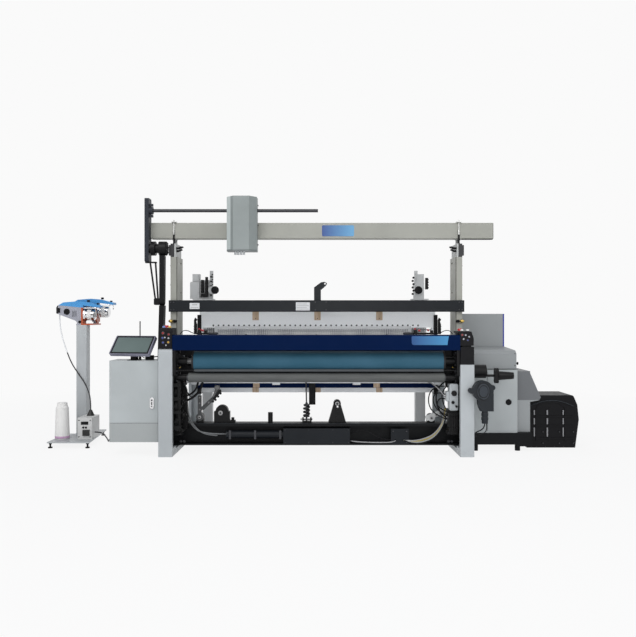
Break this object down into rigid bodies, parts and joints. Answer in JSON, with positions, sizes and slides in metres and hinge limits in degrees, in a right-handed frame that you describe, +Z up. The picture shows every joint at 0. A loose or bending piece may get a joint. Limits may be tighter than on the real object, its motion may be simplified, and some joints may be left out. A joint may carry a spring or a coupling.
{
  "type": "power loom",
  "caption": "Power loom with heald frames, sley and reed, take-up and press rollers, back-rest roller, control cabinet, side drive and a free-standing yarn feeder stand.",
  "frame": {"origin": "on the floor, at the centre of the anchor holes in the feet of the two side frames", "axes": "+X along the cloth width, towards the drive side; +Y from the weaver's side to the warp side; +Z up"},
  "size_m": [5.04, 1.57, 2.324],
  "materials": {
    "frame_paint": "satin light grey",
    "post_paint": "satin warm grey",
    "dark_paint": "satin",
    "black_casting": "painted black",
    "navy_paint": "satin",
    "cabinet_paint": "fine powder coat",
    "hood_paint": "powder coat",
    "roller_cover": "ribbed teal cover",
    "steel": "turned",
    "dark_steel": "drawn tube",
    "alloy": "anodised",
    "black_plastic": "moulded",
    "grey_plastic": "moulded",
    "red_plastic": "moulded",
    "blue_plastic": "moulded",
    "yellow_plastic": "moulded",
    "white_plastic": "moulded",
    "screen_plastic": "moulded bezel",
    "foot_rubber": "moulded",
    "yarn": "wound yarn",
    "cable_rubber": "cable jacket",
    "chrome_trim": "polished"
  },
  "bodies": {
    "frame": {"auxiliary_motor": "black_casting", "beam_saddles": "black_casting", "boot_guard": "cabinet_paint", "breast_beam": "dark_paint", "breast_beam_cover": "navy_paint", "cable_trunk": "dark_paint", "control_cabinet": "cabinet_paint", "drive_hub": "black_casting", "feeder_cable": "cable_rubber", "feeder_stand": "frame_paint", "front_cross_beam": "dark_paint", "gear_housing": "dark_paint", "guard_bar": "dark_paint", "harness_castings": "dark_steel", "harness_units": "dark_steel", "heald_guides": "black_plastic", "left_button_box": "black_plastic", "left_side_frame": "frame_paint", "machine_base": "dark_paint", "motor_cover": "black_plastic", "power_box": "grey_plastic", "rear_columns": "frame_paint", "rear_cross_beam": "dark_paint", "right_button_box": "black_plastic", "right_side_frame": "frame_paint", "roller_brackets": "black_casting", "screen_post": "black_plastic", "selvedge_column": "dark_paint", "selvedge_drive_arm": "black_plastic", "side_cabinet": "cabinet_paint", "stand_feet": "foot_rubber", "supply_cable": "cable_rubber", "top_beam": "post_paint", "upper_posts": "post_paint", "warp_stop_head": "steel", "yarn_cone": "yarn", "yarn_feeders": "grey_plastic"},
    "take_up": {"take_up_roller": "roller_cover"},
    "press": {"press_roller": "dark_steel"},
    "sley": {"sley": "alloy", "reed": "steel"},
    "heald_odd": {"heald_frames_odd": "alloy"},
    "heald_even": {"heald_frames_even": "alloy"},
    "back_rest": {"back_rest_roller": "steel"},
    "selvedge_shaft": {"selvedge_shaft": "steel"},
    "selvedge_carriage": {"selvedge_housing": "hood_paint"},
    "door": {"cabinet_door": "cabinet_paint"},
    "latch": {"door_latch": "chrome_trim"},
    "screen": {"touch_screen": "screen_plastic"},
    "left_stop": {"left_stop_button": "red_plastic"},
    "left_start": {"left_start_button": "blue_plastic"},
    "left_jog": {"left_jog_button": "yellow_plastic"},
    "right_stop": {"right_stop_button": "red_plastic"},
    "right_start": {"right_start_button": "white_plastic"},
    "right_jog": {"right_jog_button": "white_plastic"},
    "handwheel": {"motor_handwheel": "black_plastic"},
    "drum_1": {"feeder_drum_1": "chrome_trim"},
    "drum_2": {"feeder_drum_2": "chrome_trim"},
    "left_lever": {"left_harness_lever": "steel"},
    "right_lever": {"right_harness_lever": "steel"}
  },
  "joints": [
    {"name": "take_up_spin", "type": "hinge", "parent": "frame", "child": "take_up", "pos_m": [0, -0.6, 0.825], "axis": [1, 0, 0], "continuous": true},
    {"name": "press_spin", "type": "hinge", "parent": "frame", "child": "press", "pos_m": [0, -0.64, 0.683], "axis": [1, 0, 0], "continuous": true},
    {"name": "sley_rock", "type": "hinge", "parent": "frame", "child": "sley", "pos_m": [0, -0.35, 0.64], "axis": [1, 0, 0], "range_deg": [-8, 12]},
    {"name": "heald_odd_lift", "type": "slide", "parent": "frame", "child": "heald_odd", "axis": [0, 0, 1], "range_m": [0, 0.1]},
    {"name": "heald_even_lift", "type": "slide", "parent": "frame", "child": "heald_even", "axis": [0, 0, 1], "range_m": [0, 0.1]},
    {"name": "back_rest_spin", "type": "hinge", "parent": "frame", "child": "back_rest", "pos_m": [0, 0.665, 1.08], "axis": [1, 0, 0], "continuous": true},
    {"name": "selvedge_shaft_spin", "type": "hinge", "parent": "frame", "child": "selvedge_shaft", "pos_m": [-0.8, -0.335, 2.206], "axis": [1, 0, 0], "continuous": true},
    {"name": "selvedge_slide", "type": "slide", "parent": "frame", "child": "selvedge_carriage", "axis": [1, 0, 0], "range_m": [-0.4, 0.4]},
    {"name": "door_hinge", "type": "hinge", "parent": "frame", "child": "door", "pos_m": [-1.809, -0.681, 0.478], "axis": [0, 0, 1], "range_deg": [-120, 0]},
    {"name": "latch_turn", "type": "hinge", "parent": "door", "child": "latch", "pos_m": [-1.441, -0.69, 0.463], "axis": [0, 1, 0], "range_deg": [0, 90]},
    {"name": "screen_tilt", "type": "hinge", "parent": "frame", "child": "screen", "pos_m": [-1.615, -0.615, 0.925], "axis": [0.9613, -0.2756, 0], "range_deg": [-20, 15]},
    {"name": "left_stop_press", "type": "slide", "parent": "frame", "child": "left_stop", "axis": [0, 0, -1], "range_m": [0, 0.004], "stiffness_N_per_m": 800, "springref_m": -0.003},
    {"name": "left_start_press", "type": "slide", "parent": "frame", "child": "left_start", "axis": [0, 0, -1], "range_m": [0, 0.004], "stiffness_N_per_m": 800, "springref_m": -0.003},
    {"name": "left_jog_press", "type": "slide", "parent": "frame", "child": "left_jog", "axis": [0, 0, -1], "range_m": [0, 0.004], "stiffness_N_per_m": 800, "springref_m": -0.003},
    {"name": "right_stop_press", "type": "slide", "parent": "frame", "child": "right_stop", "axis": [0, 0, -1], "range_m": [0, 0.004], "stiffness_N_per_m": 800, "springref_m": -0.003},
    {"name": "right_start_press", "type": "slide", "parent": "frame", "child": "right_start", "axis": [0, 0, -1], "range_m": [0, 0.004], "stiffness_N_per_m": 800, "springref_m": -0.003},
    {"name": "right_jog_press", "type": "slide", "parent": "frame", "child": "right_jog", "axis": [0, 0, -1], "range_m": [0, 0.004], "stiffness_N_per_m": 800, "springref_m": -0.003},
    {"name": "handwheel_spin", "type": "hinge", "parent": "frame", "child": "handwheel", "pos_m": [2.46, -0.13, 0.197], "axis": [1, 0, 0], "continuous": true},
    {"name": "drum_1_spin", "type": "hinge", "parent": "frame", "child": "drum_1", "pos_m": [-2.27, 0.097, 1.242], "axis": [1, 0, 0], "continuous": true},
    {"name": "drum_2_spin", "type": "hinge", "parent": "frame", "child": "drum_2", "pos_m": [-2.18, 0.247, 1.272], "axis": [1, 0, 0], "continuous": true},
    {"name": "left_lever_swing", "type": "hinge", "parent": "frame", "child": "left_lever", "pos_m": [-1.068, -0.42, 0.303], "axis": [0, 1, 0], "range_deg": [-8, 8]},
    {"name": "right_lever_swing", "type": "hinge", "parent": "frame", "child": "right_lever", "pos_m": [1.051, -0.42, 0.296], "axis": [0, 1, 0], "range_deg": [-6, 10]}
  ]
}
